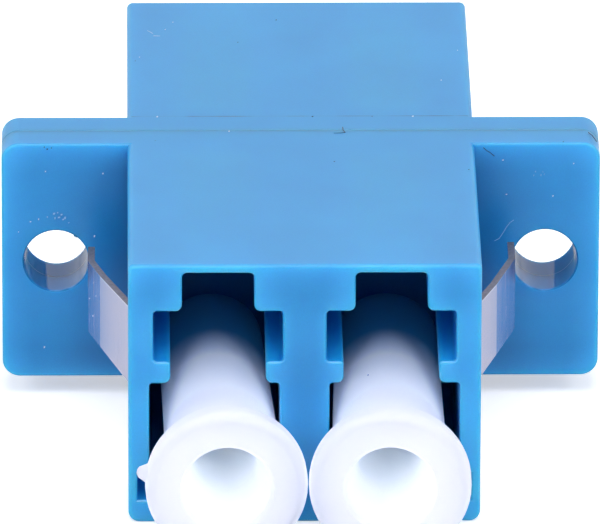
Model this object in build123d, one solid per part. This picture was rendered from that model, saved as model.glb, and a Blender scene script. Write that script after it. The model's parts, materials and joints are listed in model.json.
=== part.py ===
from build123d import *
import os
from math import cos, hypot, radians

# Duplex fibre adapter with a two-eared flange, a sprung panel clip and four dust caps.
# All lengths are millimetres. X runs across the pair of ports, the front ports face -Y and
# +Z is up. The origin is on the flat underside, midway across, in the weld plane.

# Ports: plug spacing and the height of the plug axis above the opening's floor
PORT_PITCH = 6.25
OPENING_WIDTH = 4.72
OPENING_HEIGHT = 4.60
OPENING_OUTWARD_SHIFT = 0.13
NECK_WIDTH = 3.45
NECK_HEIGHT = 0.83
EAR_SLOT_WIDTH = 4.69
EAR_SLOT_HEIGHT = 1.98
KEYWAY_WIDTH = 2.61
KEYWAY_HEIGHT = 1.495
PORT_CORNER_R = 0.14
KEYWAY_CORNER_R = 0.20
NECK_CORNER_R = 0.24
PORT_MOUTH_CHAMFER = 0.06
LATCH_SHOULDER = 2.90
LATCH_POCKET_LENGTH = 3.60
LATCH_POCKET_RISE = 1.10
NOTCH_WIDTH = 0.43
NOTCH_HEIGHT = 1.05
NOTCH_DEPTH = 2.50

# Housing body: walls round the ports and the length of one half
SIDE_WALL = 0.755
FLOOR_WALL = 0.87
ROOF_WALL = 0.31
HALF_LENGTH = 12.95
PARTITION_HALF = 2.20
BODY_TOP_EDGE_R = 0.22
BODY_BOTTOM_EDGE_R = 0.40
PORT_FACE_EDGE_R = 0.15
REAR_TOP_STEP = 0.02

# Flange: one half of its thickness belongs to each half of the housing
FLANGE_WIDTH = 22.00
FLANGE_HEIGHT = 9.27
FLANGE_HALF = 1.33
FLANGE_CORNER_R = 0.65
FLANGE_EDGE_R = 0.10
SCREW_SPACING = 18.00
SCREW_HOLE_D = 2.40
SCREW_HOLE_CHAMFER = 0.04
WELD_GROOVE = 0.03

# Split alignment sleeves and the holders moulded round them
SLEEVE_BORE = 1.249
SLEEVE_WALL = 0.18
SLEEVE_LENGTH = 6.80
SLEEVE_SLIT = 0.30
SLEEVE_FLOAT = 0.055
SLEEVE_END_FLOAT = 0.10
HOLDER_WALL = 0.415
HOLDER_LIP = 0.80
HOLDER_LIP_BORE = 1.40
HOLDER_MOUTH_D = 1.84

# Panel clip: one folded sheet round the underside and both sides of the front half
CLIP_SHEET = 0.25
CLIP_BACKLASH = 0.02
CLIP_SUNK = 0.03
CLIP_INNER_BEND = 0.15
CLIP_BACK_EDGE = 0.30
CLIP_FRONT_EDGE = 8.10
CLIP_END_PLAY = 0.10
CLIP_LEG_TOP = 7.60
CLIP_HOOK_WIDTH = 2.40
CLIP_HOOK_REACH = 0.30

# Leaves of the clip. A place is (distance out from the body's side, distance before the flange)
# of the outer face. Forming has left the two leaves bent at different places.
LEAF_SLIT = 0.12
LEAF_ROOT = 7.05
LEAF_BEND_R = 0.15
LEAF_TOP_DROP = 3.52
LEAF_ROOT_HEIGHT = 3.10
LEAF_TIP_HEIGHT = 2.79
LEFT_LEAF = ((1.02, 4.15), (1.46, 2.70), (1.45, 1.36))
RIGHT_LEAF = ((0.73, 5.00), (1.47, 2.55), (1.46, 1.00))

# Dust caps: a grip disc on a hollow barrel that goes over the sleeve holder
CAP_KNOB_D = 5.84
CAP_KNOB_THICKNESS = 1.16
CAP_KNOB_EDGE_R = 0.40
CAP_KNOB_STANDOFF = 3.13
CAP_BARREL_D_AT_KNOB = 4.22
CAP_BARREL_D_AT_END = 3.80
CAP_BARREL_ROOT_CHAMFER = 0.18
CAP_BARREL_END_CHAMFER = 0.10
CAP_END_GAP = 1.30
CAP_BORE = 3.20
CAP_RECESS_MOUTH_D = 3.20
CAP_RECESS_D = 2.30
CAP_RECESS_CONE = 2.60
CAP_RECESS_DEPTH = 6.50
CAP_RECESS_RIM_CHAMFER = 0.10
CAP_WEB = 0.84
NUB_BASE_D = 0.90
NUB_TIP_D = 0.32
NUB_LENGTH = 0.33
NUB_SUNK = 0.20
NUB_TIP_CHAMFER = 0.07

# How the two front caps sit: each has slipped and tilted a little sideways in its port.
# The gate nub on a grip disc points along its own angle, seen from in front of that cap.
CAP_PIVOT_DEPTH = 2.95
LEFT_CAP_TILT_DEG = 2.2
RIGHT_CAP_TILT_DEG = -0.4
LEFT_CAP_OFFSET = 0.02
RIGHT_CAP_OFFSET = -0.05
LEFT_CAP_NUB_DEG = 171
RIGHT_CAP_NUB_DEG = -60
REAR_LEFT_CAP_NUB_DEG = 20
REAR_RIGHT_CAP_NUB_DEG = 140

# How far a cutting solid runs past the surface that it cuts, and the most of a step's or wall's
# width that the round of one corner may take
OVERRUN = 1.0
LARGEST_SHARE = 0.495

# Sizes that follow from the ones above
PORT_X = PORT_PITCH / 2
OPENING_OUTER = OPENING_WIDTH / 2 + OPENING_OUTWARD_SHIFT
BODY_WIDTH = 2 * (PORT_X + OPENING_OUTER + SIDE_WALL)
OPENING_TOP = FLOOR_WALL + OPENING_HEIGHT
NECK_TOP = OPENING_TOP + NECK_HEIGHT
EAR_SLOT_TOP = NECK_TOP + EAR_SLOT_HEIGHT
KEYWAY_TOP = EAR_SLOT_TOP + KEYWAY_HEIGHT
BODY_HEIGHT = KEYWAY_TOP + ROOF_WALL
PORT_AXIS_Z = FLOOR_WALL + OPENING_HEIGHT / 2
PORT_DEPTH = HALF_LENGTH - PARTITION_HALF
FLANGE_MID_Z = BODY_HEIGHT - FLANGE_HEIGHT / 2
SLEEVE_OUTER_D = SLEEVE_BORE + 2 * SLEEVE_WALL
SLEEVE_POCKET_D = SLEEVE_OUTER_D + 2 * SLEEVE_FLOAT
SLEEVE_POCKET_END = SLEEVE_LENGTH / 2 + SLEEVE_END_FLOAT
HOLDER_D = SLEEVE_POCKET_D + 2 * HOLDER_WALL
HOLDER_END = SLEEVE_POCKET_END + HOLDER_LIP
CLIP_RECESS = CLIP_SUNK + CLIP_SHEET + CLIP_BACKLASH
CAP_LENGTH = CAP_KNOB_THICKNESS + CAP_KNOB_STANDOFF + PORT_DEPTH - CAP_END_GAP
CAP_FRONT_Y = HALF_LENGTH + CAP_KNOB_STANDOFF + CAP_KNOB_THICKNESS


def box_between(low, high):
    """Block between two opposite corners."""
    size = [b - a for a, b in zip(low, high)]
    middle = [(a + b) / 2 for a, b in zip(low, high)]
    return Pos(*middle) * Box(*size)


def bar_along_y(diameter, y_from, y_to, x, z):
    """Round bar between two Y stations."""
    bar = Cylinder(diameter / 2, y_to - y_from, align=(Align.CENTER, Align.CENTER, Align.MIN))
    return Pos(x, y_from, z) * Rot(-90, 0, 0) * bar


def cone_along_y(d_from, d_to, y_from, y_to, x, z):
    """Round taper between two Y stations."""
    cone = Cone(d_from / 2, d_to / 2, y_to - y_from, align=(Align.CENTER, Align.CENTER, Align.MIN))
    return Pos(x, y_from, z) * Rot(-90, 0, 0) * cone


def across_section(sketch, y_from, y_to):
    """Extrude a sketch drawn as (x, z) between two Y stations."""
    return Pos(0, y_to, 0) * Rot(90, 0, 0) * extrude(sketch, y_to - y_from)


def rectangle_between(x_low, z_low, x_high, z_high):
    """Flat rectangle given by two corners of an (x, z) drawing."""
    rectangle = Rectangle(x_high - x_low, z_high - z_low)
    return Pos((x_low + x_high) / 2, (z_low + z_high) / 2) * rectangle


def rounded_u_section(width, bottom, top, bottom_r, top_r):
    """Rectangle with one radius on its two lower corners and one on its two upper corners."""
    section = rectangle_between(-width / 2, bottom, width / 2, top)
    lower = section.vertices().group_by(Axis.Y)[0]
    section = fillet(lower, bottom_r)
    if top_r > 0:
        section = fillet(section.vertices().group_by(Axis.Y)[-1], top_r)
    return section


def corners_at(sketch, places):
    """Vertices of a sketch that lie at one of the given (distance from x = 0, z) places."""
    return [
        v for v in sketch.vertices()
        if any(hypot(abs(v.X) - half_width, v.Y - z) < 1e-4 for half_width, z in places)
    ]


def port_profile():
    """Mouth of the right-hand port as seen from the front, as (x, z) with x = 0 at the plug axis."""
    inner_side = OPENING_WIDTH - OPENING_OUTER
    half_neck = NECK_WIDTH / 2
    half_ear = EAR_SLOT_WIDTH / 2
    half_key = KEYWAY_WIDTH / 2
    profile = rectangle_between(-inner_side, FLOOR_WALL, OPENING_OUTER, OPENING_TOP)
    profile += rectangle_between(-half_neck, PORT_AXIS_Z, half_neck, EAR_SLOT_TOP)
    profile += rectangle_between(-half_ear, NECK_TOP, half_ear, EAR_SLOT_TOP)
    profile += rectangle_between(-half_key, NECK_TOP, half_key, KEYWAY_TOP)

    waists = [(half_neck, OPENING_TOP), (half_key, EAR_SLOT_TOP)]
    waist_r = min(NECK_CORNER_R, LARGEST_SHARE * (half_ear - half_key))
    profile = fillet(corners_at(profile, waists), waist_r)
    ear_corners = [(half_neck, NECK_TOP), (half_ear, NECK_TOP), (half_ear, EAR_SLOT_TOP)]
    ear_r = min(PORT_CORNER_R, LARGEST_SHARE * (half_ear - half_neck))
    profile = fillet(corners_at(profile, ear_corners), ear_r)
    profile = fillet(corners_at(profile, [(half_key, KEYWAY_TOP)]), KEYWAY_CORNER_R)
    opening_corners = [
        (OPENING_OUTER, FLOOR_WALL),
        (inner_side, FLOOR_WALL),
        (OPENING_OUTER, OPENING_TOP),
        (inner_side, OPENING_TOP),
    ]
    return fillet(corners_at(profile, opening_corners), PORT_CORNER_R)


def port_cavity(side):
    """All that is cut out for one front port. side is -1 on the left and +1 on the right."""
    mouth = -HALF_LENGTH
    cavity = across_section(port_profile(), mouth - OVERRUN, mouth + PORT_DEPTH)
    pocket_start = mouth + LATCH_SHOULDER
    cavity += box_between(
        (-EAR_SLOT_WIDTH / 2, pocket_start, EAR_SLOT_TOP - PORT_CORNER_R - NECK_CORNER_R),
        (EAR_SLOT_WIDTH / 2, pocket_start + LATCH_POCKET_LENGTH, EAR_SLOT_TOP + LATCH_POCKET_RISE),
    )
    cavity += box_between(
        (OPENING_OUTER - PORT_CORNER_R * 2, mouth - OVERRUN, FLOOR_WALL),
        (OPENING_OUTER + NOTCH_WIDTH, mouth + NOTCH_DEPTH, FLOOR_WALL + NOTCH_HEIGHT),
    )
    if side < 0:
        cavity = mirror(cavity, about=Plane.YZ)
    return Pos(side * PORT_X, 0, 0) * cavity


def clip_recess():
    """Shallow band round the underside and sides of the front half where the clip lies."""
    back = -(FLANGE_HALF + CLIP_BACK_EDGE - CLIP_END_PLAY)
    front = -(FLANGE_HALF + CLIP_FRONT_EDGE + CLIP_END_PLAY)
    core_width = BODY_WIDTH - 2 * CLIP_RECESS
    core = rounded_u_section(core_width, CLIP_RECESS, BODY_HEIGHT, CLIP_INNER_BEND - CLIP_BACKLASH, 0)
    band = rectangle_between(-BODY_WIDTH, -OVERRUN, BODY_WIDTH, CLIP_LEG_TOP + CLIP_END_PLAY) - core
    recess = across_section(band, front, back)
    middle = -(FLANGE_HALF + (CLIP_BACK_EDGE + CLIP_FRONT_EDGE) / 2)
    half_slot = CLIP_HOOK_WIDTH / 2 + CLIP_END_PLAY
    slot = box_between(
        (-core_width / 2 - CLIP_SHEET, middle - half_slot, CLIP_LEG_TOP - CLIP_SHEET - CLIP_SUNK),
        (-core_width / 2 + CLIP_HOOK_REACH + CLIP_BACKLASH, middle + half_slot, CLIP_LEG_TOP + CLIP_END_PLAY),
    )
    return recess + slot + mirror(slot, about=Plane.YZ)


def sleeve_holder(side):
    """Round post that stands on the partition and holds one half of a sleeve."""
    return bar_along_y(HOLDER_D, -HOLDER_END, -PARTITION_HALF / 2, side * PORT_X, PORT_AXIS_Z)


def sleeve_pocket(side):
    """Hollow of a holder: a plain pocket for the sleeve and a funnel that leads the ferrule in."""
    x = side * PORT_X
    z = PORT_AXIS_Z
    pocket = bar_along_y(SLEEVE_POCKET_D, -SLEEVE_POCKET_END, OVERRUN, x, z)
    return pocket + cone_along_y(HOLDER_MOUTH_D, HOLDER_LIP_BORE, -HOLDER_END, -SLEEVE_POCKET_END, x, z)


def screw_hole(side):
    """Hole through one ear of a half, with its outer rim broken."""
    x = side * SCREW_SPACING / 2
    rim = -FLANGE_HALF
    widest = SCREW_HOLE_D + 2 * (SCREW_HOLE_CHAMFER + OVERRUN)
    hole = bar_along_y(SCREW_HOLE_D, rim - OVERRUN, OVERRUN, x, FLANGE_MID_Z)
    return hole + cone_along_y(widest, SCREW_HOLE_D, rim - OVERRUN, rim + SCREW_HOLE_CHAMFER, x, FLANGE_MID_Z)


def housing_half(is_front):
    """One moulded half, built facing -Y. The rear half is the same form turned to face +Y."""
    section = rounded_u_section(BODY_WIDTH, 0, BODY_HEIGHT, BODY_BOTTOM_EDGE_R, BODY_TOP_EDGE_R)
    if not is_front:
        behind_flange = rounded_u_section(
            BODY_WIDTH, 0, BODY_HEIGHT - REAR_TOP_STEP, BODY_BOTTOM_EDGE_R, BODY_TOP_EDGE_R
        )
        body = across_section(behind_flange, -HALF_LENGTH, 0) + across_section(section, -FLANGE_HALF, 0)
    else:
        body = across_section(section, -HALF_LENGTH, 0)
    face = body.faces().sort_by(Axis.Y)[0]
    body = fillet(face.edges(), min(PORT_FACE_EDGE_R, LARGEST_SHARE * ROOF_WALL))

    ears = RectangleRounded(FLANGE_WIDTH, FLANGE_HEIGHT, FLANGE_CORNER_R)
    flange = across_section(Pos(0, FLANGE_MID_Z) * ears, -FLANGE_HALF, 0)
    flange = fillet(flange.faces().sort_by(Axis.Y)[0].edges(), FLANGE_EDGE_R)
    half = body + flange
    weld_face = half.faces().sort_by(Axis.Y)[-1]
    half = chamfer(weld_face.outer_wire().edges(), WELD_GROOVE)

    for side in (-1, 1):
        half -= port_cavity(side)
    mouth_face = half.faces().sort_by(Axis.Y)[0]
    mouth_edges = [e for wire in mouth_face.inner_wires() for e in wire.edges()]
    half = chamfer(mouth_edges, PORT_MOUTH_CHAMFER)

    for side in (-1, 1):
        half = half + sleeve_holder(side) - sleeve_pocket(side) - screw_hole(side)
    if is_front:
        return half - clip_recess()
    return mirror(half, about=Plane.XZ)


def leaf_side_view(root_distance, bend_distance, end_distance, margin=0.0):
    """Outline of a leaf seen from the side, carried through the right half of the body.

    Its top edge is straight and its lower edge rises to the bend. margin makes it wider all round.
    """
    top = BODY_HEIGHT - LEAF_TOP_DROP
    root_y = -(FLANGE_HALF + root_distance)
    bend_y = -(FLANGE_HALF + bend_distance)
    end_y = -(FLANGE_HALF + end_distance)
    outline = Polyline(
        (0, root_y, top + margin),
        (0, root_y, top - LEAF_ROOT_HEIGHT - margin),
        (0, bend_y, top - LEAF_TIP_HEIGHT - margin),
        (0, end_y, top - LEAF_TIP_HEIGHT - margin),
        (0, end_y, top + margin),
        close=True,
    )
    return extrude(make_face(outline), BODY_WIDTH, dir=(1, 0, 0))


def leaf_reach(leaf):
    """Developed length of a leaf from its root to its tip."""
    path = [(0, LEAF_ROOT), *leaf]
    return sum(hypot(b[0] - a[0], b[1] - a[1]) for a, b in zip(path, path[1:]))


def clip_leaf(leaf):
    """Right-hand leaf, bent out of the leg: it flares and its tip runs straight back to the flange."""
    bend, knee, tip = leaf
    leaving = (-CLIP_SUNK, LEAF_ROOT)
    in_leg = (-CLIP_SUNK, LEAF_ROOT + 2 * CLIP_SHEET)
    places = [in_leg, leaving, bend, knee, tip]
    outer = [(BODY_WIDTH / 2 + out, -(FLANGE_HALF + before)) for out, before in places]
    path = FilletPolyline(*outer, radius=LEAF_BEND_R + CLIP_SHEET)
    outline = path.offset_2d(CLIP_SHEET, kind=Kind.INTERSECTION, side=Side.LEFT, closed=True)
    strip = extrude(make_face(outline.edges()), BODY_HEIGHT)
    return strip & leaf_side_view(LEAF_ROOT + OVERRUN, bend[1], tip[1] - OVERRUN)


def panel_clip():
    """Folded spring sheet: web under the body, two legs with inward hooks, and a leaf on each leg."""
    back = -(FLANGE_HALF + CLIP_BACK_EDGE)
    front = -(FLANGE_HALF + CLIP_FRONT_EDGE)
    outer_width = BODY_WIDTH - 2 * CLIP_SUNK
    inner_width = outer_width - 2 * CLIP_SHEET
    outer = rounded_u_section(outer_width, CLIP_SUNK, CLIP_LEG_TOP, CLIP_INNER_BEND + CLIP_SHEET, 0)
    inner = rounded_u_section(
        inner_width, CLIP_SUNK + CLIP_SHEET, CLIP_LEG_TOP + OVERRUN, CLIP_INNER_BEND, 0
    )
    clip = across_section(outer - inner, front, back)

    middle = (front + back) / 2
    hook_tip = inner_width / 2 - CLIP_HOOK_REACH
    hook = box_between(
        (hook_tip, middle - CLIP_HOOK_WIDTH / 2, CLIP_LEG_TOP - CLIP_SHEET),
        (outer_width / 2, middle + CLIP_HOOK_WIDTH / 2, CLIP_LEG_TOP),
    )
    clip = clip + hook + mirror(hook, about=Plane.YZ)

    for leaf, is_left in ((LEFT_LEAF, True), (RIGHT_LEAF, False)):
        bend_distance = leaf[0][1]
        window_end = LEAF_ROOT - leaf_reach(leaf) - LEAF_SLIT
        window = leaf_side_view(LEAF_ROOT, bend_distance, window_end, LEAF_SLIT)
        flared = clip_leaf(leaf)
        if is_left:
            window = mirror(window, about=Plane.YZ)
            flared = mirror(flared, about=Plane.YZ)
        clip = clip - window + flared
    return clip


def dust_cap(nub_angle_deg):
    """Cap along +Y with the middle of its grip face at the origin. The nub angle is seen from the front."""
    bore_end = CAP_RECESS_DEPTH + CAP_WEB
    points = [
        (CAP_RECESS_MOUTH_D / 2, 0),
        (CAP_KNOB_D / 2, 0),
        (CAP_KNOB_D / 2, CAP_KNOB_THICKNESS),
        (CAP_BARREL_D_AT_KNOB / 2, CAP_KNOB_THICKNESS),
        (CAP_BARREL_D_AT_END / 2, CAP_LENGTH),
        (CAP_BORE / 2, CAP_LENGTH),
        (CAP_BORE / 2, bore_end),
        (0, bore_end),
        (0, CAP_RECESS_DEPTH),
        (CAP_RECESS_D / 2, CAP_RECESS_DEPTH),
        (CAP_RECESS_D / 2, CAP_RECESS_CONE),
    ]
    half_section = make_face(Polyline(*points, close=True))

    def corner(sketch, point):
        return [v for v in sketch.vertices() if hypot(v.X - point[0], v.Y - point[1]) < 1e-4]

    knob_step = (CAP_KNOB_D - CAP_BARREL_D_AT_KNOB) / 2
    knob_edge_r = min(CAP_KNOB_EDGE_R, LARGEST_SHARE * min(knob_step, CAP_KNOB_THICKNESS))
    for point in (points[1], points[2]):
        half_section = fillet(corner(half_section, point), knob_edge_r)
    chamfers = (
        (points[0], CAP_RECESS_RIM_CHAMFER),
        (points[3], min(CAP_BARREL_ROOT_CHAMFER, LARGEST_SHARE * knob_step)),
        (points[4], CAP_BARREL_END_CHAMFER),
    )
    for point, length in chamfers:
        half_section = chamfer(corner(half_section, point), length)
    cap = revolve(half_section, Axis.Y)

    nub_height = NUB_LENGTH + NUB_SUNK
    nub = Cone(NUB_BASE_D / 2, NUB_TIP_D / 2, nub_height, align=(Align.CENTER, Align.CENTER, Align.MIN))
    nub = chamfer(nub.edges().sort_by(Axis.Z)[-1], NUB_TIP_CHAMFER)
    nub = Rot(0, 90, 0) * nub
    nub = Pos(CAP_KNOB_D / 2 - NUB_SUNK, CAP_KNOB_THICKNESS / 2, 0) * nub
    return cap + Rot(0, -nub_angle_deg, 0) * nub


def place_front_cap(cap, x, tilt_deg=0.0):
    """Seat a cap in a front port, tilted about the vertical through its axis at the pivot depth."""
    pivot_y = -HALF_LENGTH + CAP_PIVOT_DEPTH
    reach = (CAP_FRONT_Y + pivot_y) / cos(radians(tilt_deg))
    return Pos(x, pivot_y, PORT_AXIS_Z) * Rot(0, 0, tilt_deg) * Pos(0, -reach, 0) * cap


def sleeve(side):
    """Split alignment sleeve, its slit facing down."""
    x = side * PORT_X
    half = SLEEVE_LENGTH / 2
    tube = bar_along_y(SLEEVE_OUTER_D, -half, half, x, PORT_AXIS_Z)
    tube -= bar_along_y(SLEEVE_BORE, -half - OVERRUN, half + OVERRUN, x, PORT_AXIS_Z)
    slit = box_between(
        (x - SLEEVE_SLIT / 2, -half - OVERRUN, PORT_AXIS_Z - SLEEVE_OUTER_D),
        (x + SLEEVE_SLIT / 2, half + OVERRUN, PORT_AXIS_Z),
    )
    return tube - slit


def build_nodes():
    """Every separate piece of the adapter, by name."""
    rear_turn = Rot(0, 0, 180)
    nodes = {
        "housing_front": housing_half(True),
        "housing_rear": housing_half(False),
        "panel_clip": panel_clip(),
        "sleeve_left": sleeve(-1),
        "sleeve_right": sleeve(1),
        "dust_cap_front_left": place_front_cap(
            dust_cap(LEFT_CAP_NUB_DEG), -PORT_X + LEFT_CAP_OFFSET, LEFT_CAP_TILT_DEG
        ),
        "dust_cap_front_right": place_front_cap(
            dust_cap(RIGHT_CAP_NUB_DEG), PORT_X + RIGHT_CAP_OFFSET, RIGHT_CAP_TILT_DEG
        ),
        "dust_cap_rear_left": rear_turn * place_front_cap(dust_cap(REAR_LEFT_CAP_NUB_DEG), PORT_X),
        "dust_cap_rear_right": rear_turn * place_front_cap(dust_cap(REAR_RIGHT_CAP_NUB_DEG), -PORT_X),
    }
    return nodes


os.makedirs("parts", exist_ok=True)
for name, shape in build_nodes().items():
    shape.label = name
    export_step(shape, f"parts/{name}.step")
    print(name, "volume", round(shape.volume, 3))
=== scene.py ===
# %% [markdown]
# # A duplex fibre adapter, dressed for its portrait
#
# The adapter joins two pairs of optical plugs through a panel. Its housing is two moulded
# halves welded together at the middle of the flange, a folded steel clip grips the panel, and
# soft white caps keep dust out of the ports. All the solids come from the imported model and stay
# exactly where they are: this script gives them their finish, adds what is too fine for the
# solids, and sets up the light and the camera.

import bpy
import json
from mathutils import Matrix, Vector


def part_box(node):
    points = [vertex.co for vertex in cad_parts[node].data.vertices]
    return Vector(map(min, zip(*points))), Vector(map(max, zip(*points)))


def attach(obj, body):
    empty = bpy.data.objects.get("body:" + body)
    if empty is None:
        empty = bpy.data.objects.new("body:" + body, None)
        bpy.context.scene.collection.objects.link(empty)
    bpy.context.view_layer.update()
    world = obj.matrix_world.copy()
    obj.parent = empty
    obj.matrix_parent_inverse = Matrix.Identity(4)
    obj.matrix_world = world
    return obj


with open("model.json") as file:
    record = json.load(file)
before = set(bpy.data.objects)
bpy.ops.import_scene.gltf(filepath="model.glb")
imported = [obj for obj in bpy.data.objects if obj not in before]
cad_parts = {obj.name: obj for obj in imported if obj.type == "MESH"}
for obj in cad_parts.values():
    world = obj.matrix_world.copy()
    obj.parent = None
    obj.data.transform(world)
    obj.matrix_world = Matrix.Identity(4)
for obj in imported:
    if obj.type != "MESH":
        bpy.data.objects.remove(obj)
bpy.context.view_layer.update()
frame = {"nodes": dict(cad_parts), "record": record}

# %% [markdown]
# ## Units
#
# Blender counts in metres and the part is a few millimetres thick, so sizes are written in
# millimetres and multiplied by MM. A noise texture's scale is the other way round, waves per
# metre: PER_M divided by the real size of a wave in millimetres.

# %% Imports and units
import json
import math
import random

import bpy
from mathutils import Quaternion, Vector

MM = 0.001
PER_M = 1 / MM

bpy.ops.object.select_all(action="DESELECT")
scene = bpy.context.scene
scene.view_settings.view_transform = "Standard"
print("nodes", sorted(frame["nodes"]))

# %% [markdown]
# ## The camera
#
# The picture was taken with a long lens from a little over half a metre, looking down at the
# front ports. A long lens keeps parallel edges nearly parallel, so the flange behind looks almost
# as large as the face in front. The angles and the distance below were worked out by fitting a
# pinhole camera to edges of known size, so no lens shift is needed.

# %% Camera
SENSOR_WIDTH_MM = 36.0
LENS_MM = 827.2
CAMERA_DISTANCE = 511.3 * MM
CAMERA_ELEVATION = math.radians(22.59)
CAMERA_AZIMUTH = math.radians(-0.811)
CAMERA_ROLL = math.radians(0.179)
AIM_UP = 4.450 * MM
NEAREST_SEEN = 10 * MM
FARTHEST_SEEN = 10.0

towards_camera = Vector((
    math.sin(CAMERA_AZIMUTH) * math.cos(CAMERA_ELEVATION),
    -math.cos(CAMERA_AZIMUTH) * math.cos(CAMERA_ELEVATION),
    math.sin(CAMERA_ELEVATION),
))
camera_right = Vector((math.cos(CAMERA_AZIMUTH), math.sin(CAMERA_AZIMUTH), 0))
camera_up = towards_camera.cross(camera_right)

bpy.ops.object.camera_add(location=camera_up * AIM_UP + towards_camera * CAMERA_DISTANCE)
camera = bpy.context.object
camera.name = "portrait_camera"
camera.rotation_mode = "QUATERNION"
level = (-towards_camera).to_track_quat("-Z", "Y")
camera.rotation_quaternion = level @ Quaternion((0, 0, 1), CAMERA_ROLL)
camera.data.sensor_width = SENSOR_WIDTH_MM
camera.data.lens = LENS_MM
camera.data.clip_start = NEAREST_SEEN
camera.data.clip_end = FARTHEST_SEEN
scene.camera = camera
print("camera at", [round(v, 4) for v in camera.location])

# %% [markdown]
# ## Colour and shader helpers
#
# Colours are written as the hex values that a paint program shows. Blender's shaders work in
# linear light, so one function converts them, by the curve of the sRGB standard. A second small
# function adds a shader node, sets its fields and plugs its inputs in, which keeps each material
# short enough to read.

# %% Helpers for colour and shader nodes
def linear(hex_colour):
    """A hex colour as linear red, green, blue and full alpha."""
    channels = [int(hex_colour[i:i + 2], 16) / 255 for i in (1, 3, 5)]
    return tuple(c / 12.92 if c <= 0.04045 else ((c + 0.055) / 1.055) ** 2.4 for c in channels) + (1.0,)


def add(tree, kind, inputs=None, **settings):
    """Add one shader node. inputs maps a socket's name or number to a value or an output socket."""
    node = tree.nodes.new(kind)
    for name, value in settings.items():
        setattr(node, name, value)
    for socket, value in (inputs or {}).items():
        if isinstance(value, bpy.types.NodeSocket):
            tree.links.new(value, node.inputs[socket])
        else:
            node.inputs[socket].default_value = value
    return node


def new_material(name):
    """An empty node material with its output, ready for a shader."""
    material = bpy.data.materials.new(name)
    material.use_nodes = True
    tree = material.node_tree
    tree.nodes.clear()
    output = tree.nodes.new("ShaderNodeOutputMaterial")
    return material, tree, output


# %% [markdown]
# ## Room, floor and light
#
# The object stands on a plain white table inside a bright tent. The world is the tent: what the
# camera or a reflection sees of it is full white, while the light that it sheds is set apart, at a
# level where a colour renders about as it is written. The Light Path node tells the two apart.

# %% World
TENT_LIGHT = 0.36
TENT_SEEN = 1.00

world = bpy.data.worlds.new("white_tent")
scene.world = world
world.use_nodes = True
sky = world.node_tree
sky.nodes.clear()
ray = add(sky, "ShaderNodeLightPath")
seen = add(sky, "ShaderNodeMath", {0: ray.outputs["Is Camera Ray"], 1: ray.outputs["Is Glossy Ray"]},
           operation="MAXIMUM")
seen_or_through = add(sky, "ShaderNodeMath", {
    0: seen.outputs[0], 1: ray.outputs["Is Transmission Ray"]}, operation="MAXIMUM")
level_of_light = add(sky, "ShaderNodeMapRange", {
    "Value": seen_or_through.outputs[0], "To Min": TENT_LIGHT, "To Max": TENT_SEEN})
tent = add(sky, "ShaderNodeBackground", {
    "Color": linear("#ffffff"), "Strength": level_of_light.outputs["Result"]})
add(sky, "ShaderNodeOutputWorld", {"Surface": tent.outputs[0]})
print("world lights at", TENT_LIGHT)

# %% [markdown]
# The table is a matt sheet that goes far past the picture's edges. What the camera sees of it is
# lifted to white by a little emission, which lights nothing else, so that the part's soft shadow
# still shows on it.

# %% Floor
FLOOR_SIZE = 3.0
FLOOR_COLOUR = "#f4f4f4"
FLOOR_LIFT = 0.50

bpy.ops.mesh.primitive_plane_add(size=FLOOR_SIZE, location=(0, 0, 0))
floor = bpy.context.object
floor.name = "white_table"
floor_material, tree, output = new_material("white_laminate")
matt = add(tree, "ShaderNodeBsdfDiffuse", {"Color": linear(FLOOR_COLOUR)})
floor_ray = add(tree, "ShaderNodeLightPath")
lift_level = add(tree, "ShaderNodeMath", {0: floor_ray.outputs["Is Camera Ray"], 1: FLOOR_LIFT},
                 operation="MULTIPLY")
lift = add(tree, "ShaderNodeEmission", {"Color": linear("#ffffff"), "Strength": lift_level.outputs[0]})
both = add(tree, "ShaderNodeAddShader", {0: matt.outputs[0], 1: lift.outputs[0]})
tree.links.new(both.outputs[0], output.inputs["Surface"])
floor.data.materials.append(floor_material)
print("floor laid")

# %% [markdown]
# Four soft boxes stand outside the tent: one high in front, one on each side and a weak one high
# behind. Which boxes there are, and how strong, was worked out by rendering the part under one box
# at a time and adding those pictures up until faces, ledges and slots had the photo's levels.

# %% Soft boxes
LAMP_DISTANCE = 0.50
LAMP_SIZE = 0.22
LAMP_COLOUR = "#f6faff"
SOFT_BOXES = {
    "front_soft_box": (0, 60, 0.80),
    "left_soft_box": (-52, 40, 0.64),
    "right_soft_box": (52, 40, 0.64),
    "rear_soft_box": (180, 60, 0.30),
}


def soft_box(name, azimuth, elevation, watts):
    """A square lamp aimed at the part. Its azimuth, right of the front, and elevation are in degrees."""
    side, height = math.radians(azimuth), math.radians(elevation)
    direction = Vector((
        math.sin(side) * math.cos(height),
        -math.cos(side) * math.cos(height),
        math.sin(height),
    ))
    bpy.ops.object.light_add(type="AREA", location=direction * LAMP_DISTANCE)
    lamp = bpy.context.object
    lamp.name = name
    lamp.rotation_mode = "QUATERNION"
    lamp.rotation_quaternion = (-direction).to_track_quat("-Z", "Y")
    lamp.data.shape = "SQUARE"
    lamp.data.size = LAMP_SIZE
    lamp.data.energy = watts
    lamp.data.color = linear(LAMP_COLOUR)[:3]
    lamp.visible_camera = False


for box_name, (azimuth, elevation, watts) in SOFT_BOXES.items():
    soft_box(box_name, azimuth, elevation, watts)
print(len(SOFT_BOXES), "soft boxes hung", LAMP_DISTANCE, "m from the part")
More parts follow.
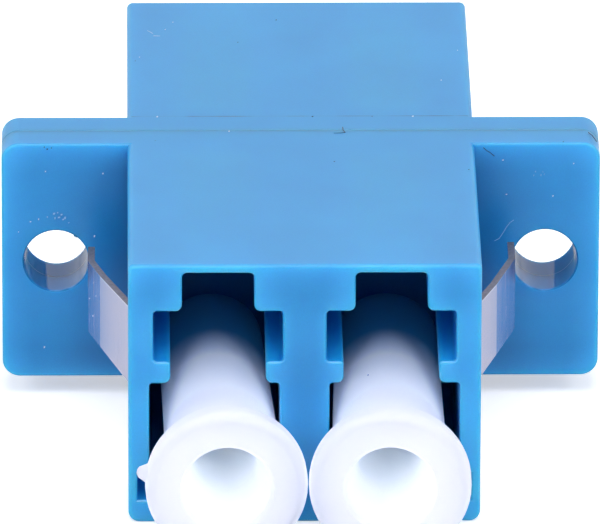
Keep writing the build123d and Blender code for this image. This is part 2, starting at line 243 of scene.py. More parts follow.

# %% [markdown]
# ## Housing plastic
#
# The housing is injection moulded from blue PBT, a slightly translucent plastic. Light goes a
# fraction of a millimetre in and comes out again, so edges and thin walls look paler than the
# thick core, and deep slots stay navy. Subsurface scattering softens the shading, and an ambient
# occlusion node that looks inwards finds where the wall is thin: there a paler blue is painted in,
# a painted glow for the light that comes out of edges and thin walls.
# The skin has the fine grain of a spark-eroded mould. A polished pin formed the screw holes, so
# their walls are as smooth as glass and mirror whatever is beside them. Their walls are also
# painted a darker blue, painted shade for the little light that reaches into a hole.

# %% Housing colours and gloss
HOUSING_DEEP = "#1694d5"
HOUSING_PALE = "#1a9bdb"
HOUSING_PAINTED_GLOW = "#3cb2f0"
HOUSING_SHADED = "#0a6fae"
HOUSING_SCRIBED = "#0d5590"
WELD_PALE = "#8cc0ea"
POLISHED_TINT = "#9ccaff"
HOUSING_ROUGHNESS = 0.34
POLISHED_ROUGHNESS = 0.05
HOUSING_IOR = 1.52

# %% Places on the housing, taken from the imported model
HOLE_RIM = 0.045 * MM

screws = next(m for m in frame["record"]["mounts"] if m["name"] == "flange_screws")
SCREW_X = screws["dims"]["spacing_x_mm"] / 2 * MM
SCREW_Z = screws["pos_m"][2]
FLANGE_FACE_Y = screws["pos_m"][1]
HOLE_RADIUS = screws["dims"]["hole_r_mm"] * MM
TOP_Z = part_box("housing_front")[1][2]
print("screw holes at x", SCREW_X, "z", SCREW_Z, "and the top face at", TOP_Z)

# %% [markdown]
# Some effects belong to one region only: the screw holes, the top face, the weld. Separate
# materials would need the mesh to be cut there. Instead the one material works out from the
# object coordinates and the normal how far a point is from those places, and uses that as a mask.
# Folding the coordinates with ABSOLUTE lets one formula serve both sides and both halves.

# %% Where a point lies on the housing
TOP_FACE_GLOW = 0.10
FACES_UP = (0.5, 0.95)

blue, tree, output = new_material("pbt_moulded_blue")
place = add(tree, "ShaderNodeTexCoord")
folded = add(tree, "ShaderNodeVectorMath", {0: place.outputs["Object"]}, operation="ABSOLUTE")
from_weld = add(tree, "ShaderNodeSeparateXYZ", {0: folded.outputs[0]})
from_axis = add(tree, "ShaderNodeVectorMath", {0: folded.outputs[0], 1: (SCREW_X, 0, SCREW_Z)},
                operation="SUBTRACT")
across_axis = add(tree, "ShaderNodeVectorMath", {0: from_axis.outputs[0], 1: (1, 0, 1)},
                  operation="MULTIPLY")
axis_distance = add(tree, "ShaderNodeVectorMath", {0: across_axis.outputs[0]}, operation="LENGTH")
in_hole = add(tree, "ShaderNodeMath", {0: axis_distance.outputs["Value"], 1: HOLE_RADIUS + HOLE_RIM},
              operation="LESS_THAN")
off_hole = add(tree, "ShaderNodeMapRange", {
    "Value": axis_distance.outputs["Value"],
    "From Min": HOLE_RADIUS + HOLE_RIM,
    "From Max": HOLE_RADIUS * 2,
})
facing = add(tree, "ShaderNodeSeparateXYZ", {0: place.outputs["Normal"]})
off_top = add(tree, "ShaderNodeMapRange", {
    "Value": facing.outputs["Z"],
    "From Min": FACES_UP[0], "From Max": FACES_UP[1],
    "To Min": 1.0, "To Max": TOP_FACE_GLOW,
})
print("the hole mask reaches", round((HOLE_RADIUS + HOLE_RIM) / MM, 3), "mm from a screw axis")

# %% [markdown]
# The pigment is never quite even, so the base wavers between two near blues in soft clouds. Two
# occlusion nodes then do the rest. The one that looks inwards paints a paler blue on thin walls and
# edges, a painted glow. The one that looks outwards paints shade into the corners beside the
# flange, where the blue walls see mostly each other.

# %% Clouds in the housing colour
CLOUD_MM = 3.5
CLOUD_FROM_TO = (0.30, 0.72)

cloud = add(tree, "ShaderNodeTexNoise", {
    "Vector": place.outputs["Object"], "Scale": PER_M / CLOUD_MM, "Detail": 2.0, "Roughness": 0.55})
tone = add(tree, "ShaderNodeValToRGB", {"Fac": cloud.outputs["Fac"]})
for stop, position, colour in zip(tone.color_ramp.elements, CLOUD_FROM_TO, (HOUSING_DEEP, HOUSING_PALE)):
    stop.position = position
    stop.color = linear(colour)
print("clouds of", CLOUD_MM, "mm")

# %% Painted glow of thin walls
OCCLUSION_RAYS = 4
GLOW_REACH_MM = 1.20
THIN_FROM_TO = (0.97, 0.45)
GLOW_BEND = 1.4
WELD_FADE_MM = (0.25, 0.80)

look_in = add(tree, "ShaderNodeAmbientOcclusion", {"Distance": GLOW_REACH_MM * MM},
              samples=OCCLUSION_RAYS, inside=True, only_local=True)
thin = add(tree, "ShaderNodeMapRange", {
    "Value": look_in.outputs["AO"], "From Min": THIN_FROM_TO[0], "From Max": THIN_FROM_TO[1]})
off_weld = add(tree, "ShaderNodeMapRange", {
    "Value": from_weld.outputs["Y"],
    "From Min": WELD_FADE_MM[0] * MM,
    "From Max": WELD_FADE_MM[1] * MM,
})
off_both = add(tree, "ShaderNodeMath", {0: off_weld.outputs["Result"], 1: off_hole.outputs["Result"]},
               operation="MULTIPLY")
allowed = add(tree, "ShaderNodeMath", {0: off_both.outputs[0], 1: off_top.outputs["Result"]},
              operation="MULTIPLY")
bent = add(tree, "ShaderNodeMath", {0: thin.outputs["Result"], 1: GLOW_BEND}, operation="POWER")
glow = add(tree, "ShaderNodeMath", {0: bent.outputs[0], 1: allowed.outputs[0]}, operation="MULTIPLY")
print("the glow looks", GLOW_REACH_MM, "mm into the wall")

# %% Painted shade in the flange's corners and the screw holes
CORNER_REACH_MM = 3.0
CORNER_FROM_TO = (0.92, 0.50)
FLANGE_ZONE_MM = (1.5, 3.0)

look_out = add(tree, "ShaderNodeAmbientOcclusion", {"Distance": CORNER_REACH_MM * MM},
               samples=OCCLUSION_RAYS)
shaded = add(tree, "ShaderNodeMapRange", {
    "Value": look_out.outputs["AO"], "From Min": CORNER_FROM_TO[0], "From Max": CORNER_FROM_TO[1]})
by_flange = add(tree, "ShaderNodeMapRange", {
    "Value": from_weld.outputs["Y"],
    "From Min": FLANGE_ZONE_MM[0] * MM, "From Max": FLANGE_ZONE_MM[1] * MM,
    "To Min": 1.0, "To Max": 0.0,
})
corner = add(tree, "ShaderNodeMath", {0: shaded.outputs["Result"], 1: by_flange.outputs["Result"]},
             operation="MULTIPLY")
painted_shade_mask = add(tree, "ShaderNodeMath", {0: corner.outputs[0], 1: in_hole.outputs[0]},
                operation="MAXIMUM")
# Painted shade: a darker blue in the flange's corners and on the screw holes' walls stands in for shade.
painted_shade_colour = add(tree, "ShaderNodeMix", {
    "Factor": painted_shade_mask.outputs[0], "A": tone.outputs["Color"], "B": linear(HOUSING_SHADED)},
    data_type="RGBA")
# Painted glow: a paler blue on thin walls and edges stands in for light coming out of the plastic there.
glowing = add(tree, "ShaderNodeMix", {
    "Factor": glow.outputs[0], "A": painted_shade_colour.outputs["Result"], "B": linear(HOUSING_PAINTED_GLOW)},
    data_type="RGBA")
print("corners shaded up to", FLANGE_ZONE_MM[1], "mm from the weld")

# %% [markdown]
# The mould's grain is about seven hundredths of a millimetre, two pixels wide in the picture. It
# both dents the skin and varies its tone, because each tiny pit catches a little less light.

# %% Grain
GRAIN_MM = 0.07
GRAIN_FROM_TO = (0.25, 0.75)
GRAIN_TONE = (0.955, 1.045)

grain = add(tree, "ShaderNodeTexNoise", {
    "Vector": place.outputs["Object"], "Scale": PER_M / GRAIN_MM, "Detail": 3.0, "Roughness": 0.6})
grain_level = add(tree, "ShaderNodeMapRange", {
    "Value": grain.outputs["Fac"],
    "From Min": GRAIN_FROM_TO[0], "From Max": GRAIN_FROM_TO[1],
    "To Min": GRAIN_TONE[0], "To Max": GRAIN_TONE[1],
})
grained = add(tree, "ShaderNodeVectorMath", {0: glowing.outputs["Result"], 1: grain_level.outputs["Result"]},
              operation="MULTIPLY")
print("grain of", GRAIN_MM, "mm")

# %% [markdown]
# Two fine lines belong to the moulding. Where the flange ends on the rear half, the tool left a
# faint broken line across the top. Inside the screw holes the weld shows as a hair of paler skin.
# Both are narrower than a mesh edge is worth, so they are drawn by distance from their plane.

# %% Broken line behind the flange
STEP_LINE_MM = 0.055
TOP_SLACK_MM = 0.03
BREAK_MM = 1.6
BREAK_FROM_TO = (0.42, 0.60)
BREAK_STRENGTH = (0.15, 0.9)

plain_place = add(tree, "ShaderNodeSeparateXYZ", {0: place.outputs["Object"]})
near_step = add(tree, "ShaderNodeMath", {
    0: plain_place.outputs["Y"],
    1: -FLANGE_FACE_Y + STEP_LINE_MM * MM,
    2: STEP_LINE_MM * MM,
}, operation="COMPARE")
on_top = add(tree, "ShaderNodeMath", {0: plain_place.outputs["Z"], 1: TOP_Z - TOP_SLACK_MM * MM},
             operation="GREATER_THAN")
broken = add(tree, "ShaderNodeTexNoise", {
    "Vector": place.outputs["Object"], "Scale": PER_M / BREAK_MM, "Detail": 3.0})
in_places = add(tree, "ShaderNodeMapRange", {
    "Value": broken.outputs["Fac"],
    "From Min": BREAK_FROM_TO[0], "From Max": BREAK_FROM_TO[1],
    "To Min": BREAK_STRENGTH[0], "To Max": BREAK_STRENGTH[1],
})
step_line = add(tree, "ShaderNodeMath", {0: near_step.outputs[0], 1: on_top.outputs[0]},
                operation="MULTIPLY")
step_mark = add(tree, "ShaderNodeMath", {0: step_line.outputs[0], 1: in_places.outputs["Result"]},
                operation="MULTIPLY")
scribed = add(tree, "ShaderNodeMix", {
    "Factor": step_mark.outputs[0], "A": grained.outputs[0], "B": linear(HOUSING_SCRIBED)},
    data_type="RGBA")
print("broken line from y", -FLANGE_FACE_Y, "m backwards")

# %% Weld line in the screw holes
WELD_LINE_MM = 0.018

near_weld = add(tree, "ShaderNodeMath", {0: from_weld.outputs["Y"], 1: WELD_LINE_MM * MM},
                operation="LESS_THAN")
weld_in_hole = add(tree, "ShaderNodeMath", {0: near_weld.outputs[0], 1: in_hole.outputs[0]},
                   operation="MULTIPLY")
skin_colour = add(tree, "ShaderNodeMix", {
    "Factor": weld_in_hole.outputs[0], "A": scribed.outputs["Result"], "B": linear(WELD_PALE)},
    data_type="RGBA")
print("weld line", 2 * WELD_LINE_MM, "mm wide")

# %% [markdown]
# The shader itself is a Principled one with full subsurface scattering. Blue plastic lets green
# and blue light wander farther than red, hence the three unlike radii. In the screw holes the
# roughness falls to the polished pin's, the grain goes, and the gloss takes a blue tint.

# %% Housing skin
GRAIN_BUMP = 0.20
GRAIN_DEPTH_MM = 0.01
SCATTER_MM = 2.0
SCATTER_BY_COLOUR = (0.20, 0.50, 0.45)

smoothness = add(tree, "ShaderNodeMapRange", {
    "Value": in_hole.outputs[0], "To Min": HOUSING_ROUGHNESS, "To Max": POLISHED_ROUGHNESS})
bump_level = add(tree, "ShaderNodeMapRange", {
    "Value": in_hole.outputs[0], "To Min": GRAIN_BUMP, "To Max": 0.0})
gloss_tint = add(tree, "ShaderNodeMix", {
    "Factor": in_hole.outputs[0], "A": linear("#ffffff"), "B": linear(POLISHED_TINT)},
    data_type="RGBA")
grain_bump = add(tree, "ShaderNodeBump", {
    "Height": grain.outputs["Fac"],
    "Strength": bump_level.outputs["Result"],
    "Distance": GRAIN_DEPTH_MM * MM,
})
skin = add(tree, "ShaderNodeBsdfPrincipled", {
    "Base Color": skin_colour.outputs["Result"],
    "Roughness": smoothness.outputs["Result"],
    "IOR": HOUSING_IOR,
    "Specular Tint": gloss_tint.outputs["Result"],
    "Normal": grain_bump.outputs["Normal"],
    "Subsurface Weight": 1.0,
    "Subsurface Radius": SCATTER_BY_COLOUR,
    "Subsurface Scale": SCATTER_MM * MM,
})
tree.links.new(skin.outputs[0], output.inputs["Surface"])
print("made", blue.name)

# %% [markdown]
# ## Clip steel
#
# The clip is stamped from bright rolled stainless sheet. Rolling leaves fine lines along the
# strip, which stand upright on the folded leaves, and the bright skin mirrors the blue flange on
# one facet and the white room on the next. The press sheared the sheet's edge: it is rough and
# dull grey, with a burr where it meets the skin. Along the burr a pale band is painted on the skin,
# a painted glint where the burr catches the light. The edge is told from the skin by its normal,
# which points straight up.

# %% Clip colours and sizes
STEEL = "#d6cfe2"
SHEARED = "#a8a2a8"
SHEAR_DARK = "#6f6a70"
BURR_GLINT = "#f4f1fa"
ROLLED_ROUGHNESS = (0.16, 0.32)
SHEARED_ROUGHNESS = 0.55
ROLLING_LINE_MM = 0.09
LINE_SQUEEZE = 0.04
LINE_BUMP = 0.10
LINE_DEPTH_MM = 0.004
MOTTLE_MM = 0.12
BURR_GLINT_MM = 0.05
LEAF_TOP_DROP_MM = 3.52
EDGE_FACES_UP = 0.7

LEAF_TOP_Z = TOP_Z - LEAF_TOP_DROP_MM * MM
print("the leaves' top edge is at z", round(LEAF_TOP_Z / MM, 3), "mm")

# %% [markdown]
# Lines come from an ordinary noise that is squeezed: with z counted at one twenty-fifth, its
# spots are drawn out to upright streaks. The same streaks make the bump and vary the roughness.

# %% Clip material
steel, tree, output = new_material("stainless_rolled_sheet")
place = add(tree, "ShaderNodeTexCoord")
stretch = add(tree, "ShaderNodeMapping", {
    "Vector": place.outputs["Object"], "Scale": (1.0, 1.0, LINE_SQUEEZE)})
lines = add(tree, "ShaderNodeTexNoise", {
    "Vector": stretch.outputs["Vector"],
    "Scale": PER_M / ROLLING_LINE_MM,
    "Detail": 3.0,
    "Roughness": 0.5,
})
line_bump = add(tree, "ShaderNodeBump", {
    "Height": lines.outputs["Fac"], "Strength": LINE_BUMP, "Distance": LINE_DEPTH_MM * MM})
mottle = add(tree, "ShaderNodeTexNoise", {
    "Vector": place.outputs["Object"], "Scale": PER_M / MOTTLE_MM, "Detail": 3.0})
upright = add(tree, "ShaderNodeSeparateXYZ", {0: place.outputs["Normal"]})
height = add(tree, "ShaderNodeSeparateXYZ", {0: place.outputs["Object"]})
edge = add(tree, "ShaderNodeMath", {0: upright.outputs["Z"], 1: EDGE_FACES_UP},
           operation="GREATER_THAN")
burr_glint_zone = add(tree, "ShaderNodeMath", {
    0: height.outputs["Z"],
    1: LEAF_TOP_Z - BURR_GLINT_MM / 2 * MM,
    2: BURR_GLINT_MM / 2 * MM,
}, operation="COMPARE")
edge_tone = add(tree, "ShaderNodeMix", {
    "Factor": mottle.outputs["Fac"], "A": linear(SHEAR_DARK), "B": linear(SHEARED)},
    data_type="RGBA")
# Painted glint: a pale band on the skin just under the leaves' top edge stands in for light caught by the
# burr.
with_burr_glint = add(tree, "ShaderNodeMix", {
    "Factor": burr_glint_zone.outputs[0], "A": linear(STEEL), "B": linear(BURR_GLINT)}, data_type="RGBA")
steel_colour = add(tree, "ShaderNodeMix", {
    "Factor": edge.outputs[0], "A": with_burr_glint.outputs["Result"], "B": edge_tone.outputs["Result"]},
    data_type="RGBA")
rolled = add(tree, "ShaderNodeMapRange", {
    "Value": lines.outputs["Fac"], "To Min": ROLLED_ROUGHNESS[0], "To Max": ROLLED_ROUGHNESS[1]})
roughness = add(tree, "ShaderNodeMix", {
    "Factor": edge.outputs[0], "A": rolled.outputs["Result"], "B": SHEARED_ROUGHNESS},
    data_type="FLOAT")
metal = add(tree, "ShaderNodeBsdfPrincipled", {
    "Base Color": steel_colour.outputs["Result"],
    "Metallic": 1.0,
    "Roughness": roughness.outputs["Result"],
    "Normal": line_bump.outputs["Normal"],
})
tree.links.new(metal.outputs[0], output.inputs["Surface"])
print("made", steel.name)

# %% [markdown]
# ## Cap plastic
#
# The caps are soft milky polyethylene. Light wanders far inside it, so shading is gentle and the
# barrel fades into the port instead of ending in a hard shadow. In the recess the light comes
# through the wall from behind, so a whiter tone is painted in there: painted light.
#
# Two occlusion nodes look 12 mm around. One sees only the cap itself and so finds its recess. The
# other sees everything. The difference between them is what other things wall in: the port round
# the barrel. The far end of a barrel sees only blue walls and little light, so there a blue is
# painted on it: painted shade, tinted by the light off those walls.

# %% Cap colours and sizes
CAP_WHITE = "#ebebf6"
CAP_LIT_THROUGH = "#f4f7f6"
CAP_PAINTED_PORT_SHADE = "#3690be"
CAP_PIPED = "#dce8ff"
CAP_ROUGHNESS = 0.42
CAP_IOR = 1.51
CAP_SCATTER_MM = 12.0
CAP_SCATTER_BY_COLOUR = (0.92, 0.97, 1.0)
CAP_LOOK_MM = 12.0
CAP_LOOK_RAYS = 8
HOLLOW_FROM_TO = (0.20, 0.01)
WALLED_FROM_TO = (0.42, 0.66)
PORT_SHADE_FADE_MM = (7.0, 9.5)

milky, tree, output = new_material("ldpe_milky_white")
place = add(tree, "ShaderNodeTexCoord")
print("caps scatter light over", CAP_SCATTER_MM, "mm")

# %% What walls a cap in
own_shade = add(tree, "ShaderNodeAmbientOcclusion", {"Distance": CAP_LOOK_MM * MM},
                samples=CAP_LOOK_RAYS, only_local=True)
hollow = add(tree, "ShaderNodeMapRange", {
    "Value": own_shade.outputs["AO"], "From Min": HOLLOW_FROM_TO[0], "From Max": HOLLOW_FROM_TO[1]})
all_shade = add(tree, "ShaderNodeAmbientOcclusion", {"Distance": CAP_LOOK_MM * MM},
                samples=CAP_LOOK_RAYS)
walled_in = add(tree, "ShaderNodeMath", {0: own_shade.outputs["AO"], 1: all_shade.outputs["AO"]},
                operation="SUBTRACT")
enclosed = add(tree, "ShaderNodeMapRange", {
    "Value": walled_in.outputs[0], "From Min": WALLED_FROM_TO[0], "From Max": WALLED_FROM_TO[1]})
print("caps look", CAP_LOOK_MM, "mm around")

# %% Cap colour, with painted light in the recess and painted shade in the port
# Painted light: a whiter tone in the recess stands in for light coming through the wall.
milk_and_painted_light = add(tree, "ShaderNodeMix", {
    "Factor": hollow.outputs["Result"], "A": linear(CAP_WHITE), "B": linear(CAP_LIT_THROUGH)},
    data_type="RGBA")
folded = add(tree, "ShaderNodeVectorMath", {0: place.outputs["Object"]}, operation="ABSOLUTE")
along = add(tree, "ShaderNodeSeparateXYZ", {0: folded.outputs[0]})
deep_end = add(tree, "ShaderNodeMapRange", {
    "Value": along.outputs["Y"],
    "From Min": PORT_SHADE_FADE_MM[1] * MM,
    "From Max": PORT_SHADE_FADE_MM[0] * MM,
})
painted_port_shade_mask = add(tree, "ShaderNodeMath", {0: deep_end.outputs["Result"], 1: enclosed.outputs["Result"]},
              operation="MULTIPLY")
# Painted shade: the far end of a barrel in the port is tinted blue for the shade there and the light off the
# blue walls.
with_painted_port_shade = add(tree, "ShaderNodeMix", {
    "Factor": painted_port_shade_mask.outputs[0], "A": milk_and_painted_light.outputs["Result"], "B": linear(CAP_PAINTED_PORT_SHADE)},
    data_type="RGBA")
print("blue from the walls fades out from", PORT_SHADE_FADE_MM[0], "to", PORT_SHADE_FADE_MM[1], "mm")

# %% [markdown]
# The knob stands in full light and passes some of it along inside the plastic, as a glass rod
# does. It leaves again where the cap is walled in: on the barrel behind the knob, less and less
# with depth and towards the sides, and in the recess. A weak emission stands in for that light.
# The occlusion nodes switch it, so it goes out by itself when a cap is pulled.

# %% Light piped through a cap
PIPED_IN_PORT = 0.22
PIPED_IN_HOLLOW = 0.02
PIPED_FADE_MM = (6.8, 10.0)
SIDES_COUNT_DEEPER_MM = 7.5

cap_facing = add(tree, "ShaderNodeSeparateXYZ", {0: place.outputs["Normal"]})
nearness = add(tree, "ShaderNodeMath", {
    0: cap_facing.outputs["Z"],
    1: SIDES_COUNT_DEEPER_MM * MM,
    2: along.outputs["Y"],
}, operation="MULTIPLY_ADD")
by_knob = add(tree, "ShaderNodeMapRange", {
    "Value": nearness.outputs[0],
    "From Min": (PIPED_FADE_MM[0] + SIDES_COUNT_DEEPER_MM) * MM,
    "From Max": (PIPED_FADE_MM[1] + SIDES_COUNT_DEEPER_MM) * MM,
    "To Max": PIPED_IN_PORT,
}, interpolation_type="SMOOTHSTEP")
piped = add(tree, "ShaderNodeMath", {0: enclosed.outputs["Result"], 1: by_knob.outputs["Result"]},
            operation="MULTIPLY")
deep_hollow = add(tree, "ShaderNodeMath", {0: hollow.outputs["Result"], 1: hollow.outputs["Result"]},
                  operation="MULTIPLY")
all_piped = add(tree, "ShaderNodeMath", {
    0: deep_hollow.outputs[0], 1: PIPED_IN_HOLLOW, 2: piped.outputs[0]}, operation="MULTIPLY_ADD")
print("piped light fades from", PIPED_FADE_MM[1], "to", PIPED_FADE_MM[0], "mm")

# %% Cap skin
CAP_PEEL_MM = 0.35
PEEL_BUMP = 0.10
PEEL_DEPTH_MM = 0.02

orange_peel = add(tree, "ShaderNodeTexNoise", {
    "Vector": place.outputs["Object"], "Scale": PER_M / CAP_PEEL_MM, "Detail": 2.0})
peel_bump = add(tree, "ShaderNodeBump", {
    "Height": orange_peel.outputs["Fac"], "Strength": PEEL_BUMP, "Distance": PEEL_DEPTH_MM * MM})
soft = add(tree, "ShaderNodeBsdfPrincipled", {
    "Base Color": with_painted_port_shade.outputs["Result"],
    "Emission Color": linear(CAP_PIPED),
    "Emission Strength": all_piped.outputs[0],
    "Roughness": CAP_ROUGHNESS,
    "IOR": CAP_IOR,
    "Normal": peel_bump.outputs["Normal"],
    "Subsurface Weight": 1.0,
    "Subsurface Radius": CAP_SCATTER_BY_COLOUR,
    "Subsurface Scale": CAP_SCATTER_MM * MM,
}, subsurface_method="BURLEY")
tree.links.new(soft.outputs[0], output.inputs["Surface"])
print("made", milky.name)

# %% [markdown]
# ## Sleeve ceramic
#
# The alignment sleeves are zirconia: dense, ivory white and polished. They sit deep in the ports,
# so a plain glossy shader with a high IOR and a slightly uneven tone is enough.

# %% Sleeve material
CERAMIC_IVORY = "#e9e6dc"
CERAMIC_WHITE = "#f2f0e8"
CERAMIC_GRAIN_MM = 0.12
CERAMIC_ROUGHNESS = 0.16
CERAMIC_IOR = 2.1

ceramic, tree, output = new_material("zirconia_polished")
place = add(tree, "ShaderNodeTexCoord")
fine = add(tree, "ShaderNodeTexNoise", {
    "Vector": place.outputs["Object"], "Scale": PER_M / CERAMIC_GRAIN_MM, "Detail": 2.0})
tint = add(tree, "ShaderNodeMix", {
    "Factor": fine.outputs["Fac"], "A": linear(CERAMIC_IVORY), "B": linear(CERAMIC_WHITE)},
    data_type="RGBA")
body = add(tree, "ShaderNodeBsdfPrincipled", {
    "Base Color": tint.outputs["Result"], "Roughness": CERAMIC_ROUGHNESS, "IOR": CERAMIC_IOR})
tree.links.new(body.outputs[0], output.inputs["Surface"])
print("made", ceramic.name)

# %% [markdown]
# ## Dust and marks
#
# A real adapter is never quite clean. The picture shows moulding dust, a few textile fibres, a
# crescent of pale flecks over the left screw hole, a light scratch over the right one, and a burr
# where the left hole was opened. They could be painted by a noise texture, but then they would lie
# anywhere. Here each is a tiny solid at its own place, so it casts its own shadow and shows from
# every side.

# %% Mark materials
FLECK_COLOURS = ("#a4cdee", "#6fb0e4")
DARK_COLOURS = ("#17405f", "#0c2a44")
BRIGHT_COLOURS = ("#e6eefa", "#b9cfe6")
DUST_ROUGHNESS = 0.55
WAVER_MM = 0.1
DUST_BUMP = 0.3
DUST_DEPTH_MM = 0.01


def dusty_material(name, colours):
    """A matt material that wavers between two colours over a tenth of a millimetre."""
    material, tree, output = new_material(name)
    place = add(tree, "ShaderNodeTexCoord")
    waver = add(tree, "ShaderNodeTexNoise", {
        "Vector": place.outputs["Object"], "Scale": PER_M / WAVER_MM})
    blend = add(tree, "ShaderNodeMix", {
        "Factor": waver.outputs["Fac"], "A": linear(colours[0]), "B": linear(colours[1])},
        data_type="RGBA")
    rough = add(tree, "ShaderNodeBump", {
        "Height": waver.outputs["Fac"], "Strength": DUST_BUMP, "Distance": DUST_DEPTH_MM * MM})
    matt = add(tree, "ShaderNodeBsdfPrincipled", {
        "Base Color": blend.outputs["Result"],
        "Roughness": DUST_ROUGHNESS,
        "Normal": rough.outputs["Normal"],
    })
    tree.links.new(matt.outputs[0], output.inputs["Surface"])
    return material


pale_fleck = dusty_material("pbt_torn_fleck", FLECK_COLOURS)
dark_dust = dusty_material("textile_dust_dark", DARK_COLOURS)
bright_dust = dusty_material("paper_dust_bright", BRIGHT_COLOURS)
print("mark materials ready")

# %% [markdown]
# A mark has to move with what it lies on, or a pulled cap would leave its dust behind. So each
# is told which body it rides on.

# %% Finish a mark
def finish_mark(piece, name, material, body):
    """Name a mark, give it its material and let it ride on a body."""
    piece.name = name
    piece.data.name = name
    piece.data.materials.clear()
    piece.data.materials.append(material)
    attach(piece, body)
    print(name, len(piece.data.polygons), "faces")


# %% [markdown]
# A textile fibre is a thread a few hundredths of a millimetre thick. A curve with a bevel would do
# too, but a hexagon that is extruded from point to point gives a closed mesh in one go, and its
# few faces are all that shows at this size.

# %% A fibre
FIBRE_SIDES = 6


def fibre(name, points_mm, thickness_mm, material, body="housing"):
    """A thin solid thread through a few points, in millimetres."""
    points = [Vector(p) * MM for p in points_mm]
    turn = (points[1] - points[0]).to_track_quat("Z", "Y").to_euler()
    bpy.ops.mesh.primitive_circle_add(vertices=FIBRE_SIDES, radius=thickness_mm / 2 * MM,
                                      fill_type="NGON", location=points[0], rotation=turn)
    piece = bpy.context.object
    bpy.ops.object.transform_apply(location=True, rotation=True, scale=True)
    bpy.ops.object.mode_set(mode="EDIT")
    bpy.ops.mesh.select_all(action="SELECT")
    for here, there in zip(points, points[1:]):
        bpy.ops.mesh.extrude_region_move(TRANSFORM_OT_translate={"value": there - here})
    bpy.ops.mesh.select_all(action="SELECT")
    bpy.ops.mesh.normals_make_consistent(inside=False)
    bpy.ops.object.mode_set(mode="OBJECT")
    finish_mark(piece, name, material, body)


# %% [markdown]
# Dust and torn flecks are crumbs: small, angular and no two of one size. One crumb is modelled
# from an icosphere whose corners are pushed about, and then copied to each place, stretched a
# little differently each time. The random numbers start from the mark's name, so every run of the
# script lays the same dust.

# %% A handful of specks
CRUMB_SPREAD = (0.7, 1.3)
CRUMB_JAG = 6
CRUMB_SEED = 3


def specks(name, places_mm, size_mm, flat, material, body="housing"):
    """A crumb for each place, stretched a little at random and pressed flat against its face."""
    dice = random.Random(name)
    bpy.ops.mesh.primitive_ico_sphere_add(subdivisions=1, radius=size_mm / 2 * MM)
    crumb = bpy.context.object
    bpy.ops.object.mode_set(mode="EDIT")
    bpy.ops.mesh.select_all(action="SELECT")
    bpy.ops.transform.vertex_random(offset=size_mm / CRUMB_JAG * MM, uniform=1.0, normal=0.0,
                                    seed=CRUMB_SEED)
    bpy.ops.mesh.normals_make_consistent(inside=False)
    bpy.ops.object.mode_set(mode="OBJECT")
    crumbs = []
    for place in places_mm:
        one = crumb.copy()
        one.data = crumb.data.copy()
        bpy.context.collection.objects.link(one)
        one.location = Vector(place) * MM
        growth = dice.uniform(*CRUMB_SPREAD)
        one.scale = [growth * f * dice.uniform(*CRUMB_SPREAD) for f in flat]
        crumbs.append(one)
    bpy.data.objects.remove(crumb)
    bpy.ops.object.select_all(action="DESELECT")
    for one in crumbs:
        one.select_set(True)
    bpy.context.view_layer.objects.active = crumbs[0]
    bpy.ops.object.join()
    bpy.ops.object.transform_apply(location=True, rotation=True, scale=True)
    finish_mark(bpy.context.object, name, material, body)
    bpy.ops.object.select_all(action="DESELECT")


# %% [markdown]
# ## Where the marks lie
#
# All places are in millimetres. On a flat face one coordinate is the face's own, so only the other
# two are written: x and z on the flange's front, x and y on the top. The three numbers of a form
# say how much a speck keeps of its size in x, y and z.

# %% Marks on the flange front
FACE_Y = FLANGE_FACE_Y / MM
ON_FACE = (1.0, 0.5, 1.0)
UPRIGHT_SPLINTER = (0.6, 0.4, 1.6)
BURR_FORM = (1.2, 1.0, 0.8)
BURR_DEPTH_MM = 0.12
FLECKS_ON_FLANGE = [
    (-10.38, 6.60), (-9.45, 1.99), (-7.27, 8.91), (-7.59, 6.42), (-9.64, 7.10), (-9.32, 7.19),
    (-9.94, 7.00), (-9.38, 9.00), (7.43, 9.41), (7.57, 8.05), (10.03, 9.27), (9.28, 7.98),
]
CRESCENT = [
    (-9.07, 7.32), (-8.94, 7.36), (-8.80, 7.28), (-8.67, 7.15), (-8.53, 6.96),
    (-9.04, 7.14), (-8.89, 7.17), (-8.74, 7.09),
]
SHORT_SCRATCHES = [(8.57, 8.80), (8.63, 8.95), (8.83, 8.81), (8.90, 8.94), (8.95, 8.85)]
DARK_ON_FLANGE = [(-9.42, 9.96), (-9.31, 9.88), (-9.16, 9.93)]
LONG_SCRATCH = [(7.85, 7.03), (7.71, 6.93), (7.58, 6.75), (7.45, 6.51), (7.31, 6.29), (7.14, 6.20)]
FLANGE_HAIR = [(6.70, 9.91), (6.82, 9.79), (6.95, 9.71), (7.11, 9.57)]
BURR_PLACES = [(-8.38, 6.50), (-8.30, 6.43), (-8.22, 6.37)]


def on_flange(pairs, depth_mm=0.0):
    """Places on the flange's front face, or a little behind it, from x and z."""
    return [(x, FACE_Y + depth_mm, z) for x, z in pairs]


specks("flange_flecks", on_flange(FLECKS_ON_FLANGE), size_mm=0.075, flat=ON_FACE, material=bright_dust)
specks("crescent_flecks", on_flange(CRESCENT), size_mm=0.095, flat=ON_FACE, material=pale_fleck)
specks("short_scratches", on_flange(SHORT_SCRATCHES), size_mm=0.060, flat=UPRIGHT_SPLINTER,
       material=pale_fleck)
specks("flange_dust", on_flange(DARK_ON_FLANGE), size_mm=0.070, flat=ON_FACE, material=dark_dust)
specks("hole_burr", on_flange(BURR_PLACES, BURR_DEPTH_MM), size_mm=0.15, flat=BURR_FORM, material=blue)
fibre("long_scratch", on_flange(LONG_SCRATCH), thickness_mm=0.022, material=pale_fleck)
fibre("flange_hair", on_flange(FLANGE_HAIR), thickness_mm=0.030, material=dark_dust)

# %% [markdown]
# The top of the rear half lies a hair under the flange's, so its marks have a height of their own.
# One hair hangs over the flange's rounded corner, so its three points carry their heights.

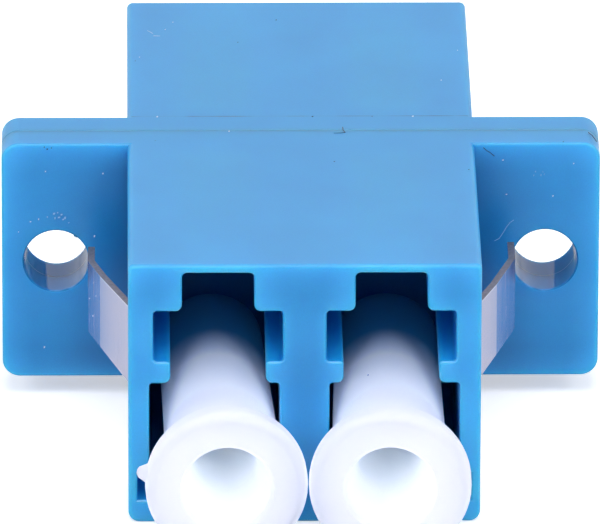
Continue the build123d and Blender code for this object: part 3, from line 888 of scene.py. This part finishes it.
# %% Marks on the top
FLANGE_TOP = TOP_Z / MM
REAR_TOP_STEP_MM = 0.02
REAR_TOP = FLANGE_TOP - REAR_TOP_STEP_MM
ON_TOP = (1.0, 1.0, 0.5)
DARK_ON_TOP = [(2.66, 1.32), (0.46, 1.31), (9.64, -1.22), (1.20, -3.10), (-5.35, -1.02), (6.10, -3.90)]
DARK_ON_REAR = [(-0.77, 11.05), (-2.23, 8.79), (-6.07, 6.94)]
PALE_ON_TOP = [(4.16, 1.31), (-5.27, 1.31), (-2.63, -0.12)]
PALE_ON_REAR = [(-4.65, 10.84), (-5.91, 7.31), (5.97, 7.94), (5.29, 4.94), (-4.94, 10.11)]
TOP_FIBRE = [(1.56, 0.26), (1.57, -0.02), (1.64, -0.27), (1.49, -0.31), (1.23, -0.33)]
CORNER_HAIR = [(10.59, -0.30, 10.085), (10.72, -0.56, 10.075), (10.88, -0.98, 9.99)]
REAR_SCRATCHES = [[(-5.60, 9.99), (-5.40, 9.70)], [(-5.38, 9.46), (-5.13, 9.44)]]


def lying_at(height_mm, pairs):
    """Places on a level face, from x and y."""
    return [(x, y, height_mm) for x, y in pairs]


specks("top_dust", lying_at(FLANGE_TOP, DARK_ON_TOP), size_mm=0.060, flat=ON_TOP, material=dark_dust)
specks("rear_top_dust", lying_at(REAR_TOP, DARK_ON_REAR), size_mm=0.080, flat=ON_TOP, material=dark_dust)
specks("top_flecks", lying_at(FLANGE_TOP, PALE_ON_TOP), size_mm=0.080, flat=ON_TOP, material=bright_dust)
specks("rear_top_flecks", lying_at(REAR_TOP, PALE_ON_REAR), size_mm=0.075, flat=ON_TOP,
       material=bright_dust)
fibre("top_fibre", lying_at(FLANGE_TOP, TOP_FIBRE), thickness_mm=0.034, material=dark_dust)
fibre("corner_hair", CORNER_HAIR, thickness_mm=0.030, material=dark_dust)
for count, ends in enumerate(REAR_SCRATCHES, 1):
    fibre(f"rear_scratch_{count}", lying_at(REAR_TOP, ends), thickness_mm=0.022, material=bright_dust)

# %% [markdown]
# Neither the bent leaf of the clip nor the barrel of a cap is level, so each of their specks has
# all three coordinates. The one on the right-hand cap rides on that cap.

# %% Marks on the clip and on a cap
ROUND_SPECK = (1.0, 1.0, 1.0)
ON_BARREL = (1.0, 1.0, 0.6)
LEAF_SPECKS = [(-7.62, -4.71, 5.98), (-7.77, -4.22, 5.15), (-7.53, -5.01, 5.58), (-7.65, -4.63, 4.63)]
CAP_SPECK = [(2.31, -11.57, 5.20)]

specks("leaf_flecks", LEAF_SPECKS, size_mm=0.060, flat=ROUND_SPECK, material=bright_dust)
specks("cap_dust", CAP_SPECK, size_mm=0.070, flat=ON_BARREL, material=dark_dust, body="cap_front_right")

# %% [markdown]
# ## Dress the solids
#
# The solids' meshes are left alone. Only the materials in their slots are exchanged for the ones
# made above, so the shape that is seen is the imported shape.

# %% Give each node its finish
FINISHES = {
    "housing_front": blue,
    "housing_rear": blue,
    "panel_clip": steel,
    "sleeve_left": ceramic,
    "sleeve_right": ceramic,
    "dust_cap_front_left": milky,
    "dust_cap_front_right": milky,
    "dust_cap_rear_left": milky,
    "dust_cap_rear_right": milky,
}
for node_name, finish in FINISHES.items():
    node = frame["nodes"][node_name]
    for slot in node.material_slots:
        slot.material = finish
    print(node_name, len(node.material_slots), "slot", len(node.data.polygons), "triangles")
